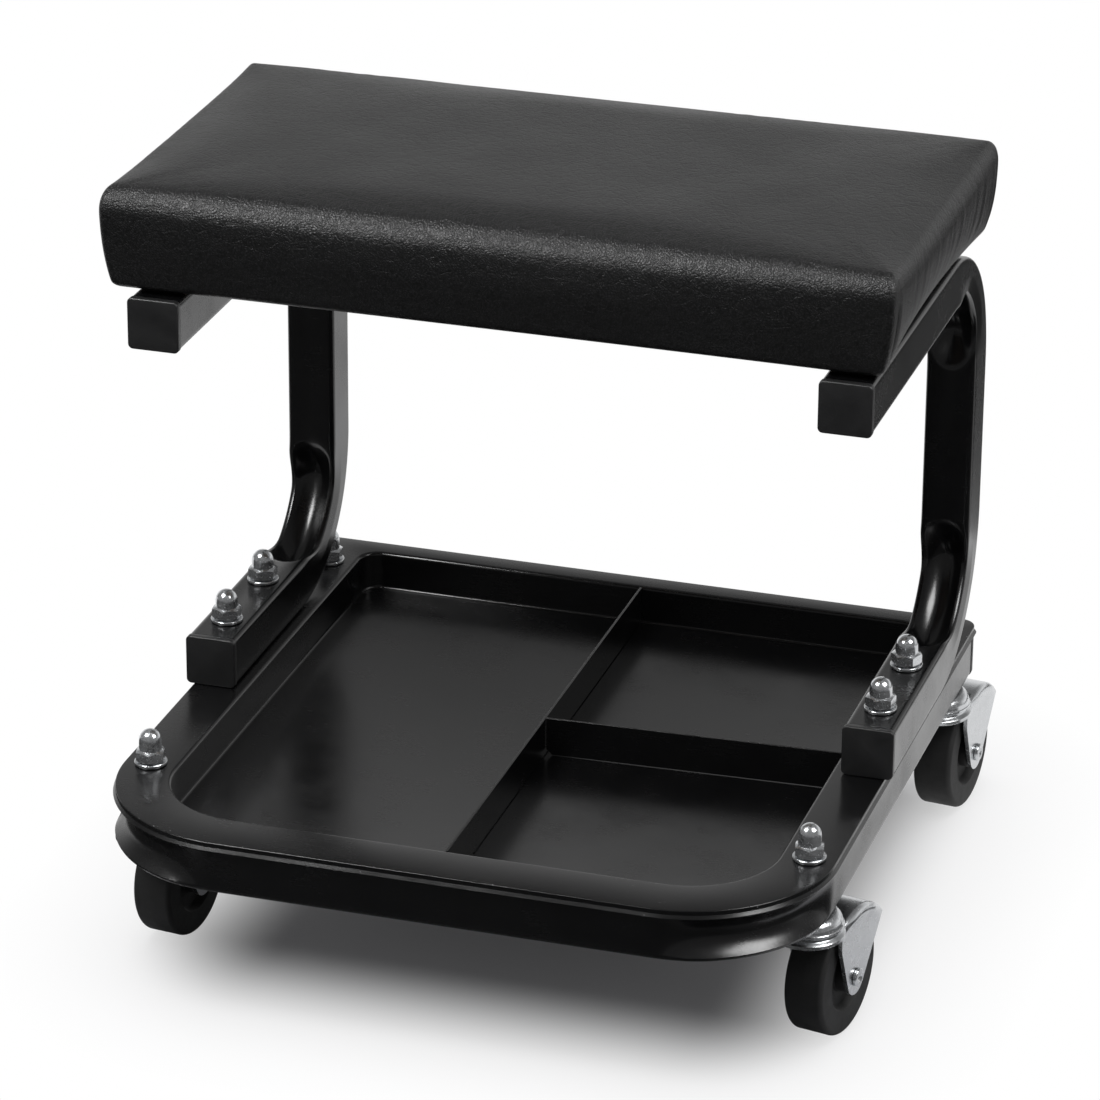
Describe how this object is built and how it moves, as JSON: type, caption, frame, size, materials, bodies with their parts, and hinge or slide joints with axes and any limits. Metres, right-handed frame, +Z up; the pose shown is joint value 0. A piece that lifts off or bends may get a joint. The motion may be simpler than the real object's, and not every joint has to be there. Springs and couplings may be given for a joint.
{
  "type": "mechanic stool",
  "caption": "Low rolling work stool: padded vinyl seat on bent square-tube frames above a pressed tool tray with dividers, on swivel casters.",
  "frame": {"origin": "on the floor, under the middle of the stool's bounding box", "axes": "+Z up, +Y to the rear where the uprights are, +X to the right as seen from the front"},
  "size_m": [0.3862, 0.385, 0.3834],
  "materials": {
    "black_vinyl": "satin",
    "plywood": "matte",
    "black_powder_coat": "satin",
    "black_cap_plastic": "satin",
    "bright_zinc": "gloss",
    "dull_zinc": "satin",
    "black_wheel_rubber": "matte",
    "white_nylon": "satin"
  },
  "bodies": {
    "stool": {"seat_cushion": "black_vinyl", "seat_board": "plywood", "left_seat_frame": "black_powder_coat", "right_seat_frame": "black_powder_coat", "base_frame": "black_powder_coat", "tool_tray": "black_powder_coat", "long_divider": "black_powder_coat", "cross_divider": "black_powder_coat", "left_foot_cap": "black_cap_plastic", "right_foot_cap": "black_cap_plastic", "left_top_tube_cap": "black_cap_plastic", "right_top_tube_cap": "black_cap_plastic", "left_base_cap": "black_cap_plastic", "right_base_cap": "black_cap_plastic", "left_front_foot_bolt": "bright_zinc", "left_rear_foot_bolt": "bright_zinc", "right_front_foot_bolt": "bright_zinc", "right_rear_foot_bolt": "bright_zinc", "left_front_foot_washer": "bright_zinc", "left_rear_foot_washer": "bright_zinc", "right_front_foot_washer": "bright_zinc", "right_rear_foot_washer": "bright_zinc", "left_front_foot_cap_nut": "bright_zinc", "left_rear_foot_cap_nut": "bright_zinc", "right_front_foot_cap_nut": "bright_zinc", "right_rear_foot_cap_nut": "bright_zinc", "left_front_seat_screw": "bright_zinc", "left_rear_seat_screw": "bright_zinc", "right_front_seat_screw": "bright_zinc", "right_rear_seat_screw": "bright_zinc", "front_left_caster_stem": "bright_zinc", "front_right_caster_stem": "bright_zinc", "rear_left_caster_stem": "bright_zinc", "rear_right_caster_stem": "bright_zinc", "front_left_caster_washer": "bright_zinc", "front_right_caster_washer": "bright_zinc", "rear_left_caster_washer": "bright_zinc", "rear_right_caster_washer": "bright_zinc", "front_left_caster_cap_nut": "bright_zinc", "front_right_caster_cap_nut": "bright_zinc", "rear_left_caster_cap_nut": "bright_zinc", "rear_right_caster_cap_nut": "bright_zinc"},
    "front_left_fork": {"front_left_caster_fork": "dull_zinc", "front_left_axle": "dull_zinc"},
    "front_right_fork": {"front_right_caster_fork": "dull_zinc", "front_right_axle": "dull_zinc"},
    "rear_left_fork": {"rear_left_caster_fork": "dull_zinc", "rear_left_axle": "dull_zinc"},
    "rear_right_fork": {"rear_right_caster_fork": "dull_zinc", "rear_right_axle": "dull_zinc"},
    "front_left_roller": {"front_left_wheel": "black_wheel_rubber", "front_left_wheel_bush": "white_nylon"},
    "front_right_roller": {"front_right_wheel": "black_wheel_rubber", "front_right_wheel_bush": "white_nylon"},
    "rear_left_roller": {"rear_left_wheel": "black_wheel_rubber", "rear_left_wheel_bush": "white_nylon"},
    "rear_right_roller": {"rear_right_wheel": "black_wheel_rubber", "rear_right_wheel_bush": "white_nylon"}
  },
  "joints": [
    {"name": "front_left_swivel", "type": "hinge", "parent": "stool", "child": "front_left_fork", "pos_m": [-0.1594, -0.12, 0.0636], "axis": [0, 0, 1], "continuous": true},
    {"name": "front_right_swivel", "type": "hinge", "parent": "stool", "child": "front_right_fork", "pos_m": [0.1676, -0.12, 0.0636], "axis": [0, 0, 1], "continuous": true},
    {"name": "rear_left_swivel", "type": "hinge", "parent": "stool", "child": "rear_left_fork", "pos_m": [-0.1594, 0.136, 0.0636], "axis": [0, 0, 1], "continuous": true},
    {"name": "rear_right_swivel", "type": "hinge", "parent": "stool", "child": "rear_right_fork", "pos_m": [0.1676, 0.136, 0.0636], "axis": [0, 0, 1], "continuous": true},
    {"name": "front_left_roll", "type": "hinge", "parent": "front_left_fork", "child": "front_left_roller", "pos_m": [-0.15623, -0.0942, 0.03], "axis": [0.9925, -0.1219, 0], "continuous": true},
    {"name": "front_right_roll", "type": "hinge", "parent": "front_right_fork", "child": "front_right_roller", "pos_m": [0.17256, -0.09448, 0.03], "axis": [0.9816, -0.1908, 0], "continuous": true},
    {"name": "rear_left_roll", "type": "hinge", "parent": "rear_left_fork", "child": "rear_left_roller", "pos_m": [-0.15668, 0.16185, 0.03], "axis": [0.9945, -0.1045, 0], "continuous": true},
    {"name": "rear_right_roll", "type": "hinge", "parent": "rear_right_fork", "child": "rear_right_roller", "pos_m": [0.17054, 0.16183, 0.03], "axis": [0.9936, -0.1132, 0], "continuous": true}
  ]
}
